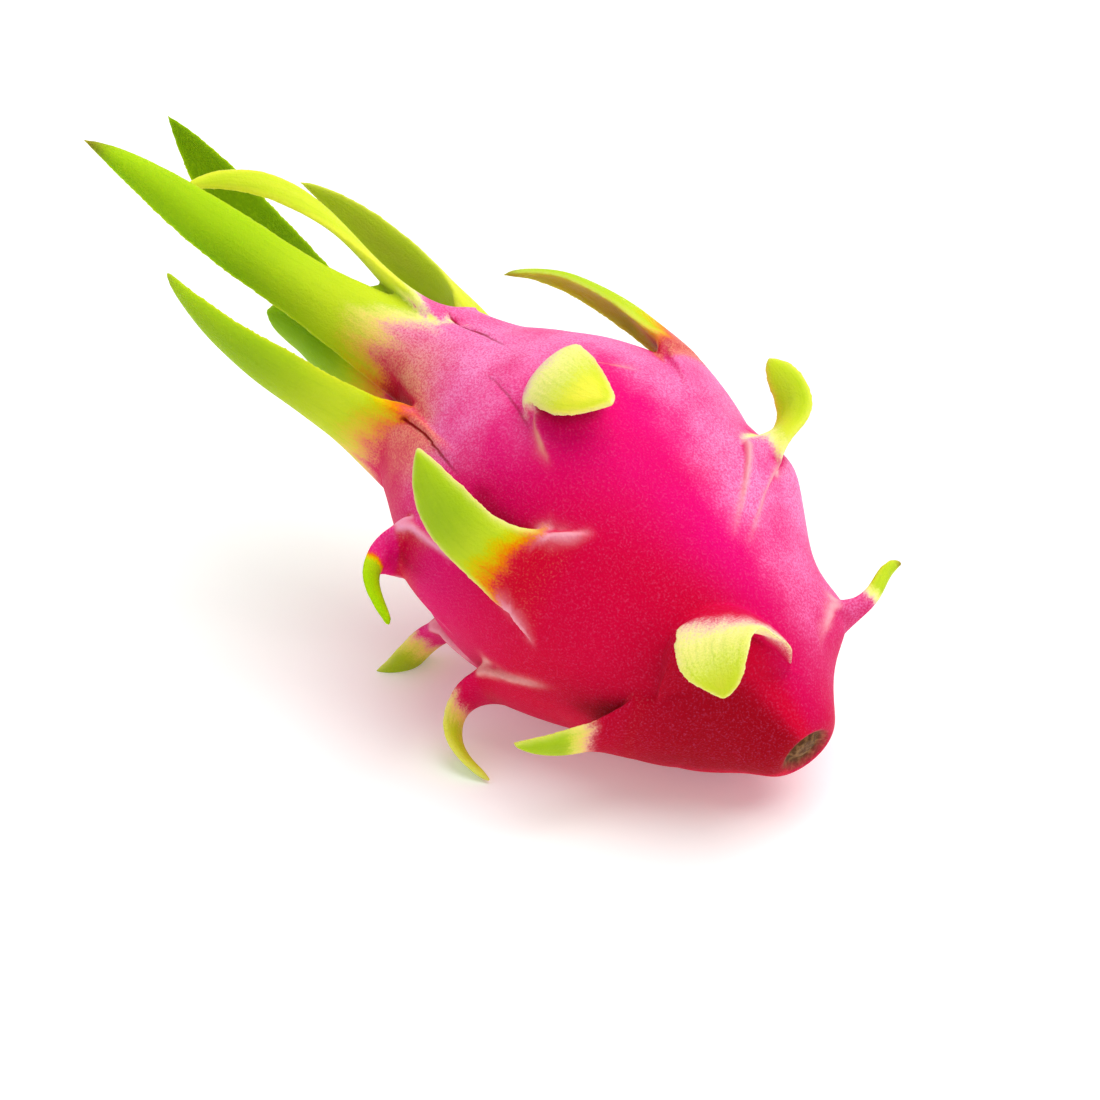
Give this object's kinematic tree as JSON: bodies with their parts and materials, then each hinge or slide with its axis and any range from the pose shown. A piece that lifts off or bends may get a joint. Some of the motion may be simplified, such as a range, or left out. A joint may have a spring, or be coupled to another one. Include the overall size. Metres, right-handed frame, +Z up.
{
  "type": "dragon fruit",
  "caption": "Whole dragon fruit lying on its side: an egg-shaped pink rind with curled leafy scales and a crown of long green scales at one end.",
  "frame": {"origin": "centre of the small flat spot on the underside that the fruit rests on", "axes": "+Z up, -X towards the crown, +X towards the stem end"},
  "size_m": [0.2511, 0.1286, 0.1225],
  "materials": {
    "rind": "satin fruit skin, magenta on the body and lime green on the scales"
  },
  "bodies": {
    "root": {"dragon_fruit": "rind"}
  },
  "joints": []
}
